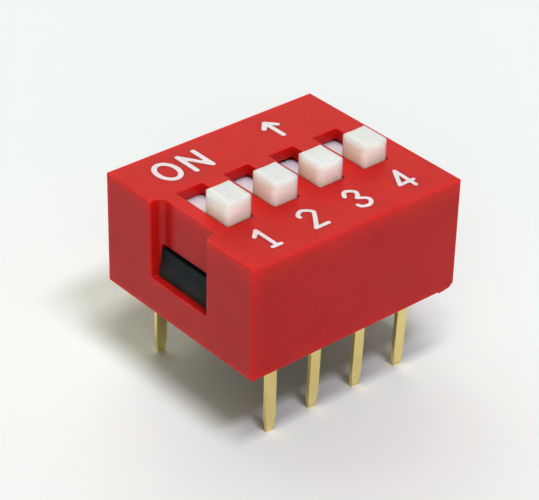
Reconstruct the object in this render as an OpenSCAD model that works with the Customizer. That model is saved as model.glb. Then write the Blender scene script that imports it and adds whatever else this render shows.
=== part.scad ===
// Four-way slide DIP switch, through-hole, 2.54 mm pitch, rows 7.62 mm apart.
// X runs along the row of switches, +Y is the ON side, +Z is up.
// The origin lies midway between the lead tips, on the plane that they stand on.
// All four sliders are drawn in the OFF position, at the -Y end of their slots.

/* [Cover] */
// Length of the moulded cover, along the row
body_l = 11.6; // [11.4:0.05:12]
// Width of the cover, across the two rows of leads
body_w = 9.9; // [9.7:0.05:10.2]
// Height of the cover, from its rim to its top face
body_h = 5.45; // [5.35:0.05:6]
// Thickness of the two long walls
side_wall = 0.75; // [0.6:0.05:0.8]
// Thickness of the two end walls, away from the recess
end_wall = 0.95; // [0.9:0.01:1]
// Thickness of the roof between the slider channels
roof_t = 0.85; // [0.75:0.05:0.9]
// Depth of the channel that each slider tongue runs in
channel_d = 0.3; // [0.25:0.05:0.35]
// Radius of the cover's outer edges
edge_r = 0.1; // [0.06:0.01:0.2]

/* [End recess] */
// Width of the recess in the left end, at its mouth
recess_w = 3.78; // [3.5:0.02:4]
// Depth of the recess
recess_d = 0.62; // [0.5:0.01:0.65]
// Angle by which the recess walls close inwards
recess_draft = 10; // [5:1:15]
// Height of the ledge under the recess, above the rim
ledge_h = 1.65; // [1.4:0.05:1.8]
// Height of the latch window above that ledge
window_h = 1.5; // [1.4:0.05:1.55]
// Width of the latch window
window_w = 3.52; // [3.3:0.02:3.6]

/* [Sliders] */
// Length of each slot in the roof
slot_l = 3.46; // [3.4:0.02:3.6]
// Width of each slot
slot_w = 1.44; // [1.42:0.02:1.5]
// Distance that a slider moves between OFF and ON
travel = 1.8; // [1.6:0.05:1.8]
// Width of the knob and of the tongue below it
knob_w = 1.4; // [1.2:0.01:1.42]
// Height of a fully raised knob above the cover
knob_h = 1.17; // [0.8:0.01:1.4]
// Radius of the knob's top edges
knob_r = 0.38; // [0.1:0.01:0.4]
// Radius of the trough along the knob's top
trough_r = 1.6; // [1.4:0.1:3]
// Depth of that trough
trough_d = 0.14; // [0.05:0.01:0.16]
// Width of the slider's carriage
carriage_w = 1.9; // [1.8:0.02:1.92]

/* [Leads] */
// Length of the leads below the cover's rim
lead_l = 4.15; // [3:0.05:5]
// Width of a lead
lead_w = 0.55; // [0.45:0.01:0.6]
// Thickness of the strip that the terminals are made from
strip_t = 0.2; // [0.18:0.01:0.3]
// Width of the contact pad at a terminal's upper end
pad_w = 1.1; // [1:0.05:1.2]

/* [Contact springs] */
// Thickness of the spring strip
spring_t = 0.1; // [0.08:0.01:0.12]
// Width of the spring
spring_w = 0.9; // [0.7:0.05:0.95]
// Distance between the spring's two contact points
reach = 2.6; // [2.5:0.05:2.7]

/* [Hidden] */
$fn = 48;

ways = 4;
pitch = 2.54;
row_gap = 7.62;
slide_gap = 0.05;      // running clearance beside and below a slider
roof_gap = 0.02;       // clearance above a slider, which its spring presses upwards
end_gap = 0.02;        // gap between a knob and the end of its slot
play = 0.1;            // how far a slider can sink from the roof to the rails
sunk = [0, 0.03, play, 0.04];  // how far each slider has sunk on its spring
fit_gap = 0.03;        // clearance between the base and the cover
eps = 0.01;            // overshoot of a cut past the face that it opens

// Levels, from the lead tips up
rim_z = lead_l;
top_z = rim_z + body_h;
ledge_z = rim_z + ledge_h;
window_z = ledge_z + window_h;
roof_z = top_z - roof_t;
channel_z = roof_z + channel_d;
floor_z = window_z - slide_gap;
pad_z = floor_z + slide_gap;
carriage_z = floor_z + 0.5;
pocket_z = carriage_z + 0.6;

// Half sizes of the cavity in the cover
cave_x = body_l / 2 - end_wall;
cave_y = body_w / 2 - side_wall;
knob_l = slot_l - travel - 2 * end_gap;
tongue_l = slot_l + travel + 0.2;   // closes the slot at either end of the travel
carriage_l = tongue_l + 0.16;
cell_w = carriage_w + 2 * slide_gap;
off_y = -travel / 2;

// The two contact pads stop short of each other under the slider's path
off_pad_end = -0.1;
on_pad_end = 0.7;
lead_y = row_gap / 2;
bend_r = 0.4;

red = [0.78, 0.17, 0.15];
black = [0.1, 0.11, 0.11];
ivory = [0.93, 0.92, 0.88];
gold = [0.8, 0.68, 0.34];

// Middle of position n, counted from 1
function way_x(n) = (n - (ways + 1) / 2) * pitch;

// Points on an arc round c, from angle a0 to a1
function arc(c, r, a0, a1, steps = 8) =
    [for (i = [0:steps]) let (a = a0 + (a1 - a0) * i / steps) c + r * [cos(a), sin(a)]];

// A rectangle centred on the origin, with its four corners rounded
module round_rect(size, r) {
    square([size.x - 2 * r, size.y], center = true);
    square([size.x, size.y - 2 * r], center = true);
    for (x = [-1, 1], y = [-1, 1])
        translate([x * (size.x / 2 - r), y * (size.y / 2 - r)]) circle(r);
}

// A rectangle standing on the X axis, with its two upper corners rounded
module arch_rect(w, h, r) {
    translate([-w / 2, 0]) square([w, h - r]);
    translate([r - w / 2, 0]) square([w - 2 * r, h]);
    for (x = [-1, 1]) translate([x * (w / 2 - r), h - r]) circle(r);
}

// A block on the plane z = 0, rounded by side_r up its corners and by top_r round its top.
// It is what is common to its three outlines, each carried through the block.
module soft_block(l, w, h, side_r, top_r) {
    intersection() {
        linear_extrude(h) round_rect([l, w], side_r);
        rotate([90, 0, 0]) linear_extrude(w + 2, center = true) arch_rect(l, h, top_r);
        rotate([90, 0, 90]) linear_extrude(l + 2, center = true) arch_rect(w, h, top_r);
    }
}

// ---- cover: a red shell, open underneath ----

// Half of the recess's plan, as if in the +X end face: a rounded edge at the mouth, a drafted
// wall, and a fillet of radius r where that wall meets the floor
function recess_half(r) = let (
        face_x = body_l / 2,
        floor_x = face_x - recess_d,
        normal = [-sin(recess_draft), cos(recess_draft)],
        wall = normal * [face_x, recess_w / 2],
        fillet_y = (wall - r - normal.x * (floor_x + r)) / normal.y,
        mouth_y = (wall + edge_r - normal.x * (face_x - edge_r)) / normal.y)
    concat([[face_x + 1, mouth_y]],
        arc([face_x - edge_r, mouth_y], edge_r, 0, recess_draft - 90),
        arc([floor_x + r, fillet_y], r, 90 + recess_draft, 180));

rear_fillet_r = 0.3;
front_fillet_r = 0.15;

module recess_plan() {
    front = recess_half(front_fillet_r);
    polygon(concat(recess_half(rear_fillet_r),
        [for (i = [len(front) - 1:-1:0]) [front[i].x, -front[i].y]]));
}

// The recess and the window behind it, in the -X end
module end_cuts() {
    mirror([1, 0, 0]) {
        translate([0, 0, ledge_z]) linear_extrude(body_h) recess_plan();
        translate([cave_x - 1, -window_w / 2, ledge_z]) cube([2, window_w, window_h]);
    }
}

// A wedge across the +X end of the base or the cavity: flat below and sloped above, from
// foot_x at the bottom to head_x at the top
module end_wedge(foot_x, head_x, width, height) {
    root_x = cave_x - 0.5;
    translate([0, width / 2, ledge_z]) rotate([90, 0, 0]) linear_extrude(width)
        polygon([[root_x, 0], [foot_x, 0], [head_x, height], [root_x, height]]);
}

// Groove inside the +X end wall, shallow enough for the moulding to be pulled off its core
hook_d = 0.25;
hook_h = 1.25;

module hook_groove() {
    end_wedge(cave_x + hook_d + fit_gap, cave_x - eps, window_w, hook_h + 0.1);
}

// The cavity: straight walls, with a channel in the roof for each tongue
module cover_cavity() {
    translate([0, 0, rim_z - eps])
        linear_extrude(roof_z - rim_z + eps) round_rect([2 * cave_x, 2 * cave_y], 0.2);
    for (n = [1:ways]) translate([way_x(n), 0, roof_z - eps])
        linear_extrude(channel_d + eps)
            round_rect([knob_w + 2 * slide_gap, tongue_l + travel + 0.2], 0.2);
}

module slots() {
    for (n = [1:ways]) translate([way_x(n), 0, roof_z])
        linear_extrude(roof_t + 1) round_rect([slot_w, slot_l], 0.06);
}

// What is left where the moulding's gate was cut: a thin pip on the rim, with the corner
// beside it worn away
pip_depth = 0.1;
pip_from = 0.87;
pip_to = 0.18;

module gate_pip() {
    tip = body_l / 2;
    translate([0, -body_w / 2 + 0.45, rim_z]) rotate([90, 0, 0]) linear_extrude(0.43)
        polygon([[tip - pip_from, eps], [tip - pip_from, -pip_depth],
            [tip - 0.4, -0.5 * pip_depth], [tip - pip_to, eps]]);
}

module worn_corner() {
    translate([body_l / 2, -body_w / 2, rim_z]) rotate([0, 0, -45]) rotate([0, 35, 0])
        cube([0.3, 2, 2], center = true);
}

module cover() {
    color(red) difference() {
        union() {
            translate([0, 0, rim_z]) soft_block(body_l, body_w, body_h, edge_r, edge_r);
            gate_pip();
        }
        cover_cavity();
        slots();
        end_cuts();
        hook_groove();
        worn_corner();
    }
}

// ---- base: a black block that the terminals are moulded into ----

// The latch in the cover's window at the -X end hooks over the ledge, and at the +X end a
// shallower hook sits in the groove. Both slope inwards above, where they spring the cover
// open on the way in.
latch_w = window_w - 2 * fit_gap;
latch_foot = 0.36;     // from the cover's end face to the foot of the latch
latch_head = 0.55;     // and to its head
latch_gap = 0.18;      // above the latch, where the window stays open

module latch() {
    mirror([1, 0, 0]) end_wedge(body_l / 2 - latch_foot, body_l / 2 - latch_head, latch_w,
        window_h - latch_gap);
}

module hook() {
    end_wedge(cave_x + hook_d, cave_x - fit_gap, latch_w, hook_h);
}

// Recesses under the base, which keep the moulding's walls even, with a web between each
underside_gap = 0.12;
core_w = 1.5;
core_d = 1.6;

module base_cores() {
    for (n = [1:ways]) translate([way_x(n), 0, rim_z])
        linear_extrude(core_d) round_rect([core_w, row_gap - 2.1], 0.25);
}

// Flats that the ejector pins leave
module ejector_marks() {
    for (x = [-1, 0, 1], y = [-1, 1]) translate([x * pitch, y * (lead_y - 0.1), rim_z])
        cylinder(h = underside_gap + 0.06, d = 0.8);
}

// Walls between the sliders, up to the roof, and rails that each carriage runs on
module cell_walls() {
    wall_w = pitch - cell_w;
    rail_w = (cell_w - pad_w - 0.4) / 2;
    rail_x = (cell_w - rail_w) / 2;
    for (n = [1:ways - 1]) translate([way_x(n) + pitch / 2, 0, floor_z - eps])
        linear_extrude(roof_z - floor_z + eps) square([wall_w, body_w], center = true);
    for (n = [1:ways], side = [-1, 1]) translate([way_x(n) + side * rail_x, 0, floor_z - eps])
        linear_extrude(carriage_z - play - slide_gap - floor_z + eps)
            square([rail_w, body_w], center = true);
}

module base() {
    block_x = cave_x - fit_gap;
    block_y = cave_y - fit_gap;
    color(black) difference() {
        union() {
            // the block and the walls on it, all inside one rounded plan
            intersection() {
                translate([0, 0, rim_z + underside_gap])
                    linear_extrude(body_h) round_rect([2 * block_x, 2 * block_y], 0.18);
                union() {
                    translate([0, 0, floor_z - 2 * body_h])
                        linear_extrude(2 * body_h) square(2 * body_l, center = true);
                    cell_walls();
                }
            }
            // standoffs at the four corners, level with the rim
            for (x = [-1, 1], y = [-1, 1])
                translate([x * (block_x - 0.35), y * (block_y - 0.35), rim_z])
                    cylinder(h = 1, d = 0.6);
            latch();
            hook();
        }
        base_cores();
        ejector_marks();
        for (n = [1:ways]) {
            off_terminal(n);
            on_terminal(n);
        }
    }
}

// ---- terminals: gold-plated strip, bent over into a contact pad ----

tip_w = 0.36;
taper_l = 0.75;
nose_l = 0.25;
shoulder_z = rim_z + 0.9;
// How far the tip of each front lead is set inwards, as handling leaves them
lean = [0, 0.16, 0.16, 0.16];

// The strip seen from the end of the switch: a lead, a bend and a pad of the given length.
// The lead runs straight down to the rim, and from there to a tip that is tip_y further in.
module strip_side(pad_l, tip_y) {
    inner_r = bend_r - strip_t;
    half_t = strip_t / 2;
    nose_y = tip_y * (1 - nose_l / rim_z);
    translate([-half_t, rim_z]) square([strip_t, pad_z - bend_r - rim_z]);
    polygon([[-half_t, rim_z], [nose_y - half_t, nose_l], [tip_y - half_t / 2, 0],
        [tip_y + half_t / 2, 0], [nose_y + half_t, nose_l], [half_t, rim_z]]);
    translate([bend_r - strip_t / 2, pad_z - strip_t])
        square([pad_l - bend_r + strip_t / 2, strip_t]);
    translate([bend_r - strip_t / 2, pad_z - bend_r]) intersection() {
        difference() {
            circle(bend_r);
            circle(inner_r);
        }
        translate([-bend_r, 0]) square(bend_r);
    }
}

// The strip seen from the front: a tapered tip, the lead, and a wide shoulder
module strip_front() {
    polygon([[-tip_w / 2, 0], [tip_w / 2, 0], [lead_w / 2, taper_l],
        [lead_w / 2, shoulder_z], [pad_w / 2, shoulder_z + 0.2], [pad_w / 2, pad_z + 1],
        [-pad_w / 2, pad_z + 1], [-pad_w / 2, shoulder_z + 0.2],
        [-lead_w / 2, shoulder_z], [-lead_w / 2, taper_l]]);
}

// A terminal with its lead at y = -lead_y and its pad running towards +Y
module terminal(pad_l, tip_y) {
    translate([0, -lead_y, 0]) intersection() {
        rotate([90, 0, 90]) linear_extrude(pad_w + 1, center = true) strip_side(pad_l, tip_y);
        rotate([90, 0, 0]) linear_extrude(2 * row_gap, center = true) strip_front();
    }
}

module off_terminal(n) {
    color(gold) translate([way_x(n), 0, 0]) terminal(lead_y + off_pad_end, lean[n - 1]);
}

module on_terminal(n) {
    color(gold) translate([way_x(n), 0, 0]) rotate([0, 0, 180]) terminal(lead_y - on_pad_end, 0);
}

// ---- sliders: white nylon, a knob on a tongue on a carriage ----

knob_side_r = 0.28;
tongue_r = 0.3;
stake_r = 0.2;
stake_head_r = 0.3;
pocket_l = reach + 1.0;

module slider(n) {
    color(ivory) translate([way_x(n), off_y, -sunk[n - 1]]) {
        difference() {
            union() {
                translate([0, 0, carriage_z]) linear_extrude(roof_z - roof_gap - carriage_z)
                    round_rect([carriage_w, carriage_l], 0.25);
                translate([0, 0, roof_z - 0.2]) linear_extrude(channel_z - roof_gap - roof_z + 0.2)
                    round_rect([knob_w, tongue_l], tongue_r);
                translate([0, 0, roof_z])
                    soft_block(knob_w, knob_l, top_z + knob_h - roof_z, knob_side_r,
                        knob_r);
            }
            // trough for the tip of a pen
            translate([0, 0, top_z + knob_h + trough_r - trough_d]) rotate([90, 0, 0])
                cylinder(h = 2 * knob_l, r = trough_r, center = true, $fn = 96);
            // pocket for the contact spring
            translate([0, 0, carriage_z - eps]) linear_extrude(pocket_z - carriage_z + eps)
                round_rect([spring_w + 0.12, pocket_l], 0.15);
        }
        // stake that holds the spring, with its head melted over
        translate([0, 0, pocket_z - 0.21]) {
            cylinder(h = 0.31, r = stake_r);
            cylinder(h = 0.21 - spring_t, r = stake_head_r);
        }
    }
}

// ---- contact springs: thin strip, two arms with upturned toes ----

// Height of the strip's middle line above its lowest point, at distance y from its centre:
// flat under the carriage at height drop, then half a cosine wave down to the contact point,
// then up along a small curve at the toe
flat_l = 0.45;
toe_l = 0.22;
toe_h = 0.4;
contact_z = pad_z + 0.04 + spring_t / 2;
function spring_drop(n) = pocket_z - sunk[n - 1] - spring_t / 2 - contact_z;
function spring_z(y, drop) =
    y < flat_l ? drop
    : y < reach / 2 ? drop * (1 + cos(180 * (y - flat_l) / (reach / 2 - flat_l))) / 2
    : toe_h * pow((y - reach / 2) / toe_l, 2);

spring_steps = 20;
function spring_y(i) =
    let (n = spring_steps)
    i <= 0 ? 0 : i <= n ? flat_l + (reach / 2 - flat_l) * (i - 1) / (n - 1)
    : reach / 2 + toe_l * (i - n) / 4;

// One arm's middle line, and the same line moved sideways by d
function spring_line(drop) =
    [for (i = [0:spring_steps + 4]) [spring_y(i), spring_z(spring_y(i), drop)]];
function shifted(line, d) = [for (i = [0:len(line) - 1])
    let (a = line[max(i - 1, 0)], b = line[min(i + 1, len(line) - 1)], t = (b - a) / norm(b - a))
    line[i] + d * [-t.y, t.x]];
function flipped(line) = [for (i = [len(line) - 1:-1:0]) [-line[i].x, line[i].y]];
function reversed(line) = [for (i = [len(line) - 1:-1:0]) line[i]];

module contact(n) {
    line = spring_line(spring_drop(n));
    upper = [for (p = shifted(line, spring_t / 2)) if (p.x > 0.02) p];
    lower = [for (p = shifted(line, -spring_t / 2)) if (p.x > 0.02) p];
    color(gold) translate([way_x(n), off_y, contact_z]) difference() {
        rotate([90, 0, 90]) linear_extrude(spring_w, center = true)
            polygon(concat(flipped(upper), upper, reversed(lower), reversed(flipped(lower))));
        // hole over the stake, and a slit that parts each arm into two fingers
        cylinder(h = 2, r = stake_r + 0.02);
        for (side = [-1, 1]) translate([-0.07, side > 0 ? 0.75 : -0.75 - 1, -1])
            cube([0.14, 1, 3]);
    }
}

cover();
base();
slider(1);  // slider_1
slider(2);  // slider_2
slider(3);  // slider_3
slider(4);  // slider_4
contact(1);  // contact_1
contact(2);  // contact_2
contact(3);  // contact_3
contact(4);  // contact_4
off_terminal(1);  // terminal_off_1
off_terminal(2);  // terminal_off_2
off_terminal(3);  // terminal_off_3
off_terminal(4);  // terminal_off_4
on_terminal(1);  // terminal_on_1
on_terminal(2);  // terminal_on_2
on_terminal(3);  // terminal_on_3
on_terminal(4);  // terminal_on_4
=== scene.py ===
# %% [markdown]
# # A four-way slide DIP switch
# A DIP switch sets options on a circuit board. This one has a red moulded cover, a black base
# that carries eight gold-plated leads, and four white nylon sliders, each with a spring that
# bridges two contacts when it is ON. The pieces at their real size come from the imported CAD
# model, which this script loads as a fixed frame. Here they get their finish: moulded plastic,
# nylon that light goes into, plated strip, and the printed legends.
#
# The frame could be rebuilt by hand, but loading it keeps every size and every moving part
# exactly as in the CAD model.

# %% Load the frame
import math

import bpy
import numpy as np
from mathutils import Matrix, Vector


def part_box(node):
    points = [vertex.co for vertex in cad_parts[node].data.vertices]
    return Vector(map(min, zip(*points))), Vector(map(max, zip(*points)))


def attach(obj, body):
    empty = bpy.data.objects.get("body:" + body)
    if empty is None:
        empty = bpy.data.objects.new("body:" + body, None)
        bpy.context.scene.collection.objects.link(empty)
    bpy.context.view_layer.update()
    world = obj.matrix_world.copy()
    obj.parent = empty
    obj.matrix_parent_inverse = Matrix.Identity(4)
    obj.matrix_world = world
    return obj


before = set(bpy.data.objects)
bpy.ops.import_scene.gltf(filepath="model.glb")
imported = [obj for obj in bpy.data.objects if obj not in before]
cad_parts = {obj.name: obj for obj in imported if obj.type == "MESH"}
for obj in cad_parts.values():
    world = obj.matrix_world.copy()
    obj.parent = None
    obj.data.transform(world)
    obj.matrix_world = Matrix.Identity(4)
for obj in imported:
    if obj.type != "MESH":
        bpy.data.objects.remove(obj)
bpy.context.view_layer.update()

mm = 0.001
cover_low, cover_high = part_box("cover")
sliders = sorted(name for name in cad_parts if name.startswith("slider"))
terminals = sorted(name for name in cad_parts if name.startswith("terminal"))
springs = sorted(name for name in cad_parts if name.startswith("contact"))
print("cover, mm:", [round(v / mm, 2) for v in cover_high - cover_low])
print("nodes:", len(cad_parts), "of which sliders:", len(sliders))

# %% [markdown]
# ## Camera
# A small part is looked at from a hand's width away through a long lens, so its edges stay
# nearly parallel. The camera could be aimed with a tracking constraint, but here it is placed by
# its angles round the object and its distance, and its rotation is built from three axes. That
# keeps the small roll of a hand-held camera separate from the direction of view.

# %% Place the camera
azimuth = math.radians(-40.89)
elevation = math.radians(32.64)
roll = math.radians(1.33)
distance = 90.905 * mm
aim_right, aim_up = -0.620 * mm, -3.186 * mm
focal_length = 141.7
clip_ratio = 50

back = Vector((math.sin(azimuth) * math.cos(elevation),
               -math.cos(azimuth) * math.cos(elevation), math.sin(elevation)))
level = Vector((math.cos(azimuth), math.sin(azimuth), 0))
right = Matrix.Rotation(roll, 3, back) @ level
up = back.cross(right)
aim = Vector((0, 0, cover_high.z)) + right * aim_right + up * aim_up

camera = bpy.data.objects.new("camera", bpy.data.cameras.new("camera"))
camera.data.lens = focal_length
camera.data.clip_start = distance / clip_ratio
camera.data.clip_end = distance * clip_ratio
camera.matrix_world = Matrix.Translation(aim + back * distance) @ Matrix(
    (right, up, back)).transposed().to_4x4()
bpy.context.scene.collection.objects.link(camera)
bpy.context.scene.camera = camera
print("camera, mm:", [round(v / mm, 1) for v in camera.matrix_world.translation])

# %% [markdown]
# ## Small helpers for nodes
# Every finish below is a node tree. Nodes could be added by hand in the editor, but a helper that
# adds one node and connects its inputs keeps a tree as short to read as a formula. The node kinds
# that come back often have a helper of their own: a ramp from one value to another, a mix of two
# colours, and a bump.

# %% Helpers that add nodes
def fill(tree, placed, inputs):
    """Sets or connects a node's inputs, each given by its title or number."""
    for key, value in inputs.items():
        if isinstance(value, bpy.types.NodeSocket):
            tree.links.new(value, placed.inputs[key])
        else:
            placed.inputs[key].default_value = value


def node(tree, kind, inputs=None, **properties):
    """Adds one node, with its properties set and its inputs filled."""
    made = tree.nodes.new("ShaderNode" + kind)
    for name, value in properties.items():
        setattr(made, name, value)
    fill(tree, made, inputs or {})
    return made


def material(name):
    """A new material that has only its shader and output: (material, node tree, shader)."""
    made = bpy.data.materials.new(name)
    made.use_nodes = True
    return made, made.node_tree, made.node_tree.nodes["Principled BSDF"]


# %% Helpers for places, ramps, mixes and bumps
def on_object(tree):
    """The place on the object, in metres."""
    return node(tree, "TexCoord").outputs["Object"]


def upward_part(tree, vector):
    """The Z of a place or a normal."""
    return node(tree, "SeparateXYZ", {0: vector}).outputs["Z"]


def ramp(tree, value, start, stop, low=0.0, high=1.0, blend="LINEAR"):
    """Low where the value is at start, high where it is at stop, blended between them."""
    return node(tree, "MapRange", {"Value": value, "From Min": start, "From Max": stop,
                                   "To Min": low, "To Max": high},
                interpolation_type=blend).outputs[0]


def mix(tree, share, first, second):
    """The first colour where the share is 0, the second where it is 1."""
    return node(tree, "MixRGB", {0: share, 1: first, 2: second}).outputs[0]


def math_of(tree, operation, *values):
    """One calculation on single values."""
    return node(tree, "Math", dict(enumerate(values)), operation=operation).outputs[0]


def bumped(tree, height, strength, depth, **normal):
    """A normal that is roughened by a height with this depth."""
    return node(tree, "Bump", {"Height": height, "Strength": strength, "Distance": depth,
                               **normal}).outputs[0]


print("helpers ready")

# %% [markdown]
# ## Floor, lamps and room
# The part stands on white paper under two long soft lamps, one above it and one further to the
# front, a little cooler. They make the two soft shadow edges that lie side by side. Walls and
# ceiling send back some warmer light, which fills the shadow. They could be big lit panels, but
# a sky built from a few wide lobes does the same, makes no third shadow, and is quick to render.
# A lobe is the cosine of the angle to its middle, raised to a power: the higher the power, the
# narrower it is.
#
# A studio image usually has a little more contrast than the light itself gives, and the view
# transform's gamma adds it here.

# %% Floor of white paper
floor_size = 1.2
paper_white = (0.86, 0.86, 0.86, 1)
half = floor_size / 2
floor_mesh = bpy.data.meshes.new("floor")
floor_mesh.from_pydata([(-half, -half, 0), (half, -half, 0), (half, half, 0), (-half, half, 0)],
                       [], [(0, 1, 2, 3)])
floor = bpy.data.objects.new("floor", floor_mesh)
bpy.context.scene.collection.objects.link(floor)

paper, tree, skin = material("white_paper")
fill(tree, skin, {"Base Color": paper_white, "Roughness": 0.9, "Specular IOR Level": 0.0})
floor_mesh.materials.append(paper)
print("floor, m:", floor_size)

# %% Two long lamps
lamp_height = 2.5


def lamp(name, lean, spread, radiance, colour):
    """A soft panel that faces straight down. Lean and spread are per metre of height, and
    power = radiance times pi times area."""
    made = bpy.data.objects.new(name, bpy.data.lights.new(name, "AREA"))
    made.data.shape = "RECTANGLE"
    made.data.size = spread[0] * lamp_height
    made.data.size_y = spread[1] * lamp_height
    made.data.color = colour
    made.data.energy = radiance * math.pi * made.data.size * made.data.size_y
    made.location = (lean[0] * lamp_height, lean[1] * lamp_height, lamp_height)
    bpy.context.scene.collection.objects.link(made)
    print(name, "W:", round(made.data.energy, 1))


lamp("front_lamp", (-0.11, -0.61), (0.34, 0.17), 32.8, (0.820, 0.811, 0.985))
lamp("top_lamp", (-0.15, -0.295), (0.40, 0.17), 19.1, (0.94, 0.963, 0.94))

# %% The room round it
world = bpy.data.worlds.new("room")
bpy.context.scene.world = world
world.use_nodes = True
sky = world.node_tree
direction = node(sky, "TexCoord").outputs["Generated"]


def lobe(azimuth_deg, elevation_deg, power, colour):
    """Light from one side of the room: colour times (cosine of the angle to its middle)^power."""
    a, e = math.radians(azimuth_deg), math.radians(elevation_deg)
    middle = (math.cos(a) * math.cos(e), math.sin(a) * math.cos(e), math.sin(e))
    cosine = node(sky, "VectorMath", {0: direction, 1: middle}, operation="DOT_PRODUCT")
    fade = math_of(sky, "POWER", math_of(sky, "MAXIMUM", cosine.outputs["Value"], 0.0), power)
    return node(sky, "VectorMath", {0: colour, "Scale": fade}, operation="SCALE").outputs[0]


back_wall = lobe(80, 45, 4, (1.16, 1.20, 1.05))
right_corner = lobe(45, 25, 8, (0.71, 0.74, 0.70))
left_front = lobe(225, 25, 7, (1.87, 2.06, 1.74))
room_light = back_wall
for side in (right_corner, left_front):
    room_light = node(sky, "VectorMath", {0: room_light, 1: side}, operation="ADD").outputs[0]
fill(sky, sky.nodes["Background"], {"Color": room_light, "Strength": 1.0})

bpy.context.scene.view_settings.view_transform = "Standard"
bpy.context.scene.view_settings.gamma = 0.72
print("sky nodes:", len(sky.nodes))

# %% [markdown]
# ## Shared effects
# Three effects come back in several finishes. A steel mould leaves a fine satin texture on
# plastic. Pigment and thickness vary a little, which mottles the colour, and a few specks of dust
# lie on it. And no moulded or stamped edge is perfectly sharp: a few hundredths of a millimetre
# are round, and catch the light as a thin line. Each effect is a node group, built once, that
# gives a height, a colour, or a normal with a mask. Modelled bevels would also round the edges,
# but they would change the frame's shape, so the group rounds only the way in which light meets
# the edge. Its mask finds the edges of a boxy part: on a flat side the normal lies along one
# axis, and on an edge it lies between two.

# %% Helpers for groups
def group(name, sockets):
    """A new node group: (tree, what comes in, what goes out). sockets: (name, "in" or "out",
    socket type, default or None)."""
    tree = bpy.data.node_groups.new(name, "ShaderNodeTree")
    for title, way, kind, default in sockets:
        socket = tree.interface.new_socket(title, in_out=way.upper() + "PUT",
                                           socket_type="NodeSocket" + kind)
        if default is not None:
            socket.default_value = default
    start = tree.nodes.new("NodeGroupInput").outputs
    end = tree.nodes.new("NodeGroupOutput")
    return tree, start, end


def in_millimetres(tree):
    """The place on the object, in millimetres."""
    return node(tree, "VectorMath", {0: on_object(tree), "Scale": 1 / mm},
                operation="SCALE").outputs[0]


def use(tree, shared, **inputs):
    """Places a shared group in a material's tree and gives its outputs. Underscores in an
    input's name stand for spaces."""
    placed = tree.nodes.new("ShaderNodeGroup")
    placed.node_tree = shared
    fill(tree, placed, {name.replace("_", " "): value for name, value in inputs.items()})
    return placed.outputs


def paint(names, mat):
    """Gives a finish to every material slot of the named CAD nodes."""
    for name in names:
        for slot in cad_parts[name].material_slots:
            slot.material = mat
    print(mat.name, "on", len(names), "nodes")


print("group helpers ready")

# %% Group: satin texture
satin, start, end = group("satin_texture", [
    ("Grains per mm", "in", "Float", 20.0), ("Waves per mm", "in", "Float", 1.5),
    ("Wave share", "in", "Float", 0.5), ("Height", "out", "Float", None)])
place = in_millimetres(satin)
grain = node(satin, "TexNoise", {"Vector": place, "Scale": start["Grains per mm"],
                                 "Detail": 3.0, "Roughness": 0.6}).outputs["Fac"]
wave = node(satin, "TexNoise", {"Vector": place, "Scale": start["Waves per mm"],
                                "Detail": 1.0}).outputs["Fac"]
fill(satin, end, {"Height": math_of(satin, "MULTIPLY_ADD", wave, start["Wave share"], grain)})
print(satin.name, len(satin.nodes), "nodes")

# %% Group: mottled colour
clouds_per_mm = 0.7
specks_per_mm = 0.35
speck_core, speck_rim = 0.008, 0.022
dust_colour = (0.75, 0.70, 0.68, 1)

mottle, start, end = group("mottled_colour", [
    ("Color", "in", "Color", (1, 1, 1, 1)), ("Amount", "in", "Float", 0.05),
    ("Spots per mm", "in", "Float", 8.0), ("Specks", "in", "Float", 0.0),
    ("Color", "out", "Color", None)])
place = in_millimetres(mottle)
spots = node(mottle, "TexNoise", {"Vector": place, "Scale": start["Spots per mm"],
                                  "Detail": 4.0, "Roughness": 0.55}).outputs["Fac"]
cloud = node(mottle, "TexNoise", {"Vector": place, "Scale": clouds_per_mm,
                                  "Detail": 2.0}).outputs["Fac"]
swing = ramp(mottle, math_of(mottle, "ADD", spots, cloud), 0.6, 1.4, low=-1.0, high=1.0)
factor = math_of(mottle, "MULTIPLY_ADD", swing, start["Amount"], 1.0)
shaded = node(mottle, "VectorMath", {0: start["Color"], "Scale": factor},
              operation="SCALE").outputs[0]
to_speck = node(mottle, "TexVoronoi", {"Vector": place, "Scale": specks_per_mm}).outputs[
    "Distance"]
speck = ramp(mottle, to_speck, speck_core, speck_rim, low=1.0, high=0.0)
speck = math_of(mottle, "MULTIPLY", speck, start["Specks"])
fill(mottle, end, {"Color": mix(mottle, speck, shaded, dust_colour)})
print(mottle.name, len(mottle.nodes), "nodes")

# %% Group: soft edges and their mask
# The cover's finish uses this mask to paint a pale highlight along its top edges.
on_flat, on_edge = 0.96, 0.80

edges, start, end = group("soft_edges", [
    ("Radius in mm", "in", "Float", 0.05), ("Normal", "out", "Vector", None),
    ("Edge", "out", "Float", None)])
radius = math_of(edges, "MULTIPLY", start["Radius in mm"], mm)
rounded = node(edges, "Bevel", {"Radius": radius}, samples=6).outputs[0]
size = node(edges, "VectorMath", {0: rounded}, operation="ABSOLUTE").outputs[0]
along = node(edges, "SeparateXYZ", {0: size}).outputs
widest = math_of(edges, "MAXIMUM", math_of(edges, "MAXIMUM", along["X"], along["Y"]), along["Z"])
fill(edges, end, {"Normal": rounded, "Edge": ramp(edges, widest, on_flat, on_edge)})
print(edges.name, len(edges.nodes), "nodes")
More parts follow.
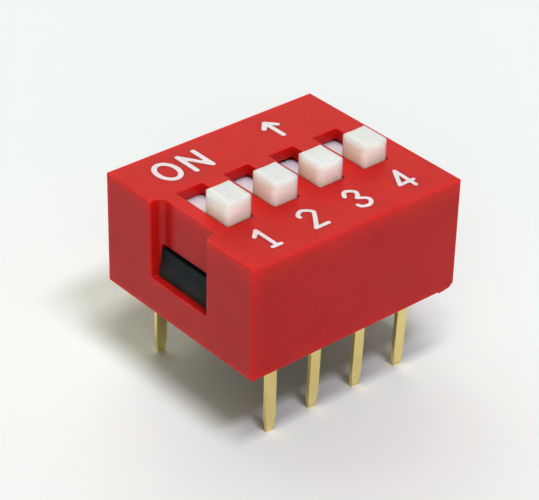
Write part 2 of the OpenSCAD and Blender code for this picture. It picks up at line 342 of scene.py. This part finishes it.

# %% [markdown]
# ## Red cover
# The cover is moulded in a bright red engineering plastic. Light goes a few tenths of a
# millimetre into it, so its faces glow a little near their edges, and a satin skin reflects the
# white paper as a pale haze. A plain diffuse red could give the colour alone. Subsurface
# scattering is used, because it gives the glow at the edges and the soft light round the slots,
# and the haze comes by itself from a saturated base under a smooth skin.
#
# Three things vary. The red is painted a little brighter on the roof and the top of the walls
# than lower down: painted light, for the roof lit more strongly and for light that enters it and
# glows out near the top of the walls. The walls slide along the steel as the cover leaves its
# mould, which polishes them, so they are smoother than the roof. And the edges round the top get
# a painted highlight: the edge mask mixes in a pale red there, in patches, as a rounded edge
# catches the light.

# %% Finish of the cover
# The roof red is lighter than the wall red: painted light, blended in over the top of the walls.
wall_red = (0.55, 0.018, 0.017, 1)
roof_red_painted_light = (0.63, 0.020, 0.018, 1)
painted_highlight_red = (0.66, 0.135, 0.12, 1)
wall_roughness, roof_roughness = 0.24, 0.45
painted_light_depth = 1.2 * mm

red, tree, skin = material("red_cover_plastic")
painted_light_near_top = ramp(tree, upward_part(tree, on_object(tree)), cover_high.z - painted_light_depth,
                cover_high.z, blend="SMOOTHSTEP")
colour = use(tree, mottle, Color=mix(tree, painted_light_near_top, wall_red, roof_red_painted_light), Amount=0.07,
             Spots_per_mm=9.0, Specks=0.25)["Color"]
edge = use(tree, edges, Radius_in_mm=0.08)
upward = upward_part(tree, edge["Normal"])
# Painted highlight: a pale red is mixed in, in patches, along the upward-facing top edges.
facing_up = ramp(tree, upward, 0.1, 0.4)
highlight_patches = node(tree, "TexNoise", {"Vector": on_object(tree), "Scale": 1.1 / mm,
                                "Detail": 3.0}).outputs["Fac"]
painted_edge_highlight = math_of(tree, "MULTIPLY", math_of(tree, "MULTIPLY", edge["Edge"], facing_up),
                 ramp(tree, highlight_patches, 0.35, 0.65, low=0.35))
height = use(tree, satin, Grains_per_mm=22.0, Waves_per_mm=1.2, Wave_share=1.0)["Height"]
fill(tree, skin, {
    "Base Color": mix(tree, painted_edge_highlight, colour, painted_highlight_red),
    "Normal": bumped(tree, height, 0.35, 0.004 * mm, Normal=edge["Normal"]),
    "Roughness": ramp(tree, upward, 0.2, 0.9, low=wall_roughness, high=roof_roughness),
    "IOR": 1.5, "Subsurface Weight": 1.0, "Subsurface Radius": (1.0, 0.15, 0.10),
    "Subsurface Scale": 0.6 * mm})
paint(["cover"], red)

# %% [markdown]
# ## Black base
# The base is a glass-filled black plastic that stands up to soldering. The glass leaves a fine
# grain that breaks up its reflections, so it looks dark grey rather than glossy. Its black is
# painted lighter grey low down, on the lower part of its latches above the cover's ledge: painted
# light and shade, as the upper part lies in the shade of the window's top edge. A blend by height
# follows the latch by itself.

# %% Finish of the base
# The lower black is lighter grey: painted light, below the shade of the window's top edge.
plain_black = (0.013, 0.025, 0.028, 1)
painted_light_black = (0.060, 0.075, 0.075, 1)
plain_above, painted_light_below = cover_low.z + 2.6 * mm, cover_low.z + 1.65 * mm

black, tree, skin = material("black_base_plastic")
painted_light_share = ramp(tree, upward_part(tree, on_object(tree)), plain_above, painted_light_below)
colour = use(tree, mottle, Color=mix(tree, painted_light_share, plain_black, painted_light_black), Amount=0.6,
             Spots_per_mm=10.0, Specks=0.04)["Color"]
height = use(tree, satin, Grains_per_mm=26.0, Waves_per_mm=2.0, Wave_share=0.6)["Height"]
edge = use(tree, edges, Radius_in_mm=0.04)
fill(tree, skin, {
    "Base Color": colour, "Roughness": 0.5, "IOR": 1.45,
    "Normal": bumped(tree, height, 0.6, 0.006 * mm, Normal=edge["Normal"])})
paint(["base"], black)

# %% [markdown]
# ## White nylon sliders
# Nylon is cloudy: light enters, spreads about a millimetre and comes out again. That is why a
# knob has such soft edges and bright sides. Real bounces bring the red of the cover to its foot,
# in every position of the switch. On top of that the colour is painted with light and shade: a
# colour ramp over the height makes the tongue bluer (painted shade in the slot), the knob's foot
# creamier (a painted red bounce from the cover), its sides brighter (a painted glow), and its top
# greyer (painted shade that tones down its strongest light). The normals are rounded over a fifth
# of a millimetre, as on a moulding that has been tumbled.

# %% Finish of the sliders
# Painted light and shade: a bluer shade on the tongue, a red bounce at the foot, a glow on the
# sides, a greyer top.
tongue_painted_shade = (0.84, 0.80, 0.84, 1)
foot_painted_bounce = (0.99, 0.93, 0.82, 1)
side_painted_glow = (0.97, 0.965, 0.91, 1)
top_painted_shade = (0.74, 0.74, 0.735, 1)
ramp_low, ramp_high = cover_high.z - 0.75 * mm, cover_high.z + 1.15 * mm

nylon, tree, skin = material("white_nylon")
up_knob = ramp(tree, upward_part(tree, on_object(tree)), ramp_low, ramp_high)
painted_light_ramp = node(tree, "ValToRGB", {0: up_knob})
painted_light_ramp.color_ramp.interpolation = "EASE"
stops = painted_light_ramp.color_ramp.elements
stops[0].position, stops[0].color = 0.0, tongue_painted_shade
stops[1].position, stops[1].color = 0.42, foot_painted_bounce
for position, shade in ((0.66, side_painted_glow), (0.95, top_painted_shade)):
    stops.new(position).color = shade
colour = use(tree, mottle, Color=painted_light_ramp.outputs["Color"], Amount=0.02, Spots_per_mm=5.0)["Color"]
height = use(tree, satin, Grains_per_mm=14.0, Waves_per_mm=1.5, Wave_share=0.5)["Height"]
edge = use(tree, edges, Radius_in_mm=0.20)
fill(tree, skin, {
    "Base Color": colour, "Roughness": 0.7, "Specular IOR Level": 0.3,
    "Normal": bumped(tree, height, 0.3, 0.004 * mm, Normal=edge["Normal"]),
    "Subsurface Weight": 1.0, "Subsurface Radius": (1.0, 0.8, 0.6),
    "Subsurface Scale": 1.2 * mm})
paint(sliders, nylon)

# %% [markdown]
# ## Plated strip
# Leads and contacts are stamped from copper-alloy strip and plated with a thin, pale gold.
# Rolling leaves fine lines along the strip, and the plating is satin, so a lead reflects as a
# soft band. The lines could be fine geometry, but noise that is stretched along the lead, 16 to
# 1, gives them at every size. A slow second noise lets the gold turn a little browner in places.

# %% Finish of the leads and springs
lines_across, lines_along = 40 / mm, 2.5 / mm
stain_share = (0.93, 0.90, 0.82)
roughness_swing = 0.08


def plated(name, gold, roughness):
    """Satin plating on rolled strip: the lines vary its height and its roughness."""
    made, tree, skin = material(name)
    place = on_object(tree)
    stretched = node(tree, "Mapping", {"Vector": place, "Scale": (
        lines_across, lines_across, lines_along)}).outputs[0]
    lines = node(tree, "TexNoise", {"Vector": stretched, "Scale": 1.0,
                                    "Detail": 3.0}).outputs["Fac"]
    stain = node(tree, "TexNoise", {"Vector": place, "Scale": 1.3 / mm,
                                    "Detail": 3.0}).outputs["Fac"]
    stained_gold = tuple(c * k for c, k in zip(gold, stain_share)) + (1,)
    edge = use(tree, edges, Radius_in_mm=0.012)
    fill(tree, skin, {
        "Base Color": mix(tree, stain, gold, stained_gold), "Metallic": 1.0,
        "Roughness": ramp(tree, lines, 0.0, 1.0, low=roughness - roughness_swing,
                          high=roughness + roughness_swing),
        "Normal": bumped(tree, lines, 0.25, 0.003 * mm, Normal=edge["Normal"])})
    return made


paint(terminals, plated("plated_leads", (0.89, 0.79, 0.43, 1), 0.40))
paint(springs, plated("plated_springs", (0.78, 0.60, 0.36, 1), 0.30))

# %% [markdown]
# ## Printed legends
# The slot numbers and the word ON are pad-printed in white ink, a film about a hundredth of a
# millimetre thick with soft round shoulders. Font text would be quicker, but a legend stamp is
# drawn by hand in strokes of one width with round ends. So each sign is a set of strokes, and
# its film is a height over a fine grid: the distance to the nearest stroke says where the ink
# ends and how it slopes down to its edge.

# %% Strokes
def smooth_path(points, pieces=8):
    """A smooth curve through the points (Catmull-Rom: each span leaves and arrives along the
    line between its neighbours)."""
    p = np.array(points, float)
    p = np.vstack([2 * p[0] - p[1], p, 2 * p[-1] - p[-2]])
    t = np.linspace(0, 1, pieces, endpoint=False)[:, None, None]
    a, b, c, d = p[:-3], p[1:-2], p[2:-1], p[3:]
    curve = 0.5 * (2 * b + (c - a) * t + (2 * a - 5 * b + 4 * c - d) * t ** 2
                   + (3 * b - a - 3 * c + d) * t ** 3)
    return np.vstack([curve.transpose(1, 0, 2).reshape(-1, 2), p[-2:-1]])


# The signs, in millimetres about their middle.
turn = np.linspace(0, 2 * np.pi, 49)
letter_o = [np.column_stack([0.50 * np.cos(turn), 0.69 * np.sin(turn)])]
letter_n = [np.array([(-0.50, -0.69), (-0.50, 0.69), (0.38, -0.69), (0.38, 0.69)])]
digit_1 = [np.array([(0.06, 0.69), (0.06, -0.69)]), np.array([(-0.18, -0.69), (0.26, -0.69)]),
           smooth_path([(0.05, 0.68), (-0.13, 0.50), (-0.31, 0.33)])]
digit_2 = [smooth_path([(-0.38, 0.34), (-0.34, 0.52), (0.0, 0.69), (0.34, 0.42), (0.25, 0.13),
                        (-0.34, -0.66)]), np.array([(-0.38, -0.69), (0.31, -0.69)])]
digit_3 = [smooth_path([(-0.37, 0.40), (-0.21, 0.64), (0.0, 0.70), (0.27, 0.46), (0.18, 0.20),
                        (0.0, 0.03)]),
           smooth_path([(0.0, 0.03), (0.35, -0.26), (0.28, -0.56), (0.0, -0.70), (-0.28, -0.61),
                        (-0.36, -0.42)])]
digit_4 = [np.array([(0.19, -0.70), (0.23, 0.68), (-0.39, -0.33), (0.40, -0.31)])]
arrow = [np.array([(0.0, -0.62), (0.0, 0.66)]),
         np.array([(-0.38, 0.26), (0.0, 0.68), (0.38, 0.26)])]
print("strokes:", sum(map(len, (letter_o, letter_n, digit_1, digit_2, digit_3, digit_4, arrow))))

# %% Distance to the strokes
tiny = 1e-9


def distance_to(paths, x, y):
    """Distance from every grid point to the nearest stroke's centre line, and the nearest spot
    on it: each segment's nearest point is found by projection, kept between its ends."""
    a = np.vstack([path[:-1] for path in paths])
    b = np.vstack([path[1:] for path in paths])
    p = np.stack([x, y], -1)[..., None, :]
    along = ((p - a) * (b - a)).sum(-1) / np.maximum(((b - a) ** 2).sum(-1), tiny ** 2)
    near = a + (b - a) * np.clip(along, 0, 1)[..., None]
    d = np.linalg.norm(p - near, axis=-1)
    best = d.argmin(-1)[..., None]
    spot = np.take_along_axis(near, best[..., None], -2)[..., 0, :]
    return np.take_along_axis(d, best, -1)[..., 0], spot


middle_of_bar = distance_to([np.array([(-1.0, 0.0), (1.0, 0.0)])], np.zeros(1), np.ones(1))[0]
print("from a bar to a point 1 above it:", middle_of_bar)

# %% The ink film
film = 0.014 * mm
grid_step = 0.030 * mm
rim = 0.98


def ink_sign(name, paths, stroke, centre):
    """A closed film of ink: height = film times the fourth root of 1 - (distance / half
    stroke)^4 inside the strokes, nothing outside. Grid points past the rim are pulled onto the
    outline, so the edge is smooth."""
    paths = [np.asarray(path, float) * mm for path in paths]
    every = np.vstack(paths)
    low, high = every.min(0) - stroke, every.max(0) + stroke
    count = np.ceil((high - low) / grid_step).astype(int) + 1
    x, y = np.meshgrid(np.linspace(low[0], high[0], count[0]),
                       np.linspace(low[1], high[1], count[1]), indexing="ij")
    half_stroke = stroke / 2
    d, spot = distance_to(paths, x, y)
    inside = d < half_stroke * rim
    index = np.arange(x.size).reshape(x.shape)
    quads = np.stack([index[:-1, :-1], index[1:, :-1], index[1:, 1:], index[:-1, 1:]],
                     -1).reshape(-1, 4)
    quads = quads[inside.ravel()[quads].any(1)]
    away = np.stack([x, y], -1) - spot
    pull = np.where(inside, 1.0, half_stroke / np.maximum(d, tiny))[..., None]
    flat = (spot + away * pull).reshape(-1, 2)
    rise = film * np.clip(1 - (d / half_stroke) ** 4, 0, 1) ** 0.25
    inside = inside.ravel()
    top = np.column_stack([flat, np.where(inside, rise.ravel(), 0)])
    under = np.column_stack([flat, np.where(inside, -film / 2, 0)])
    under_index = np.where(inside, index.ravel() + x.size, index.ravel())
    faces = np.vstack([quads, under_index[quads][:, ::-1]])
    used, faces = np.unique(faces, return_inverse=True)
    points = np.vstack([top, under])[used] + np.array(centre)
    mesh = bpy.data.meshes.new(name)
    mesh.from_pydata(points.tolist(), [], faces.reshape(-1, 4).tolist())
    mesh.shade_smooth()
    made = bpy.data.objects.new(name, mesh)
    bpy.context.scene.collection.objects.link(made)
    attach(made, "housing")
    print(name, len(points), "points,", len(mesh.polygons), "faces")
    return made


print("film, mm:", film / mm)

# %% Print them on the cover
number_stroke, word_stroke = 0.215 * mm, 0.26 * mm
number_row, word_row = -3.335 * mm, 3.355 * mm
columns = [sum(corner.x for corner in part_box(name)) / 2 for name in sliders]


def beside(column, shift, row):
    """A place on the cover's top, shifted in millimetres along the row from a slider's middle."""
    return columns[column] + shift * mm, row, cover_high.z


legends = [ink_sign("legend_" + str(n + 1), paths, number_stroke, beside(n, -0.04, number_row))
           for n, paths in enumerate((digit_1, digit_2, digit_3, digit_4))]
legends.append(ink_sign("legend_O", letter_o, word_stroke, beside(0, 0.10, word_row)))
legends.append(ink_sign("legend_N", letter_n, word_stroke, beside(1, -0.87, word_row)))
legends.append(ink_sign("arrow_to_ON", arrow, word_stroke, beside(3, -1.5, word_row)))
print("legends:", len(legends))

# %% Finish of the ink
ink_white = (0.90, 0.735, 0.765, 1)

white_ink, tree, skin = material("white_ink")
colour = use(tree, mottle, Color=ink_white, Amount=0.06, Spots_per_mm=12.0)["Color"]
height = use(tree, satin, Grains_per_mm=30.0, Waves_per_mm=6.0, Wave_share=0.7)["Height"]
fill(tree, skin, {
    "Base Color": colour, "Roughness": 0.5, "Normal": bumped(tree, height, 0.3, 0.003 * mm),
    "Subsurface Weight": 0.5, "Subsurface Radius": (1.0, 0.5, 0.4),
    "Subsurface Scale": 0.06 * mm})
for legend in legends:
    legend.data.materials.append(white_ink)
print(white_ink.name, "on", len(legends), "legends")
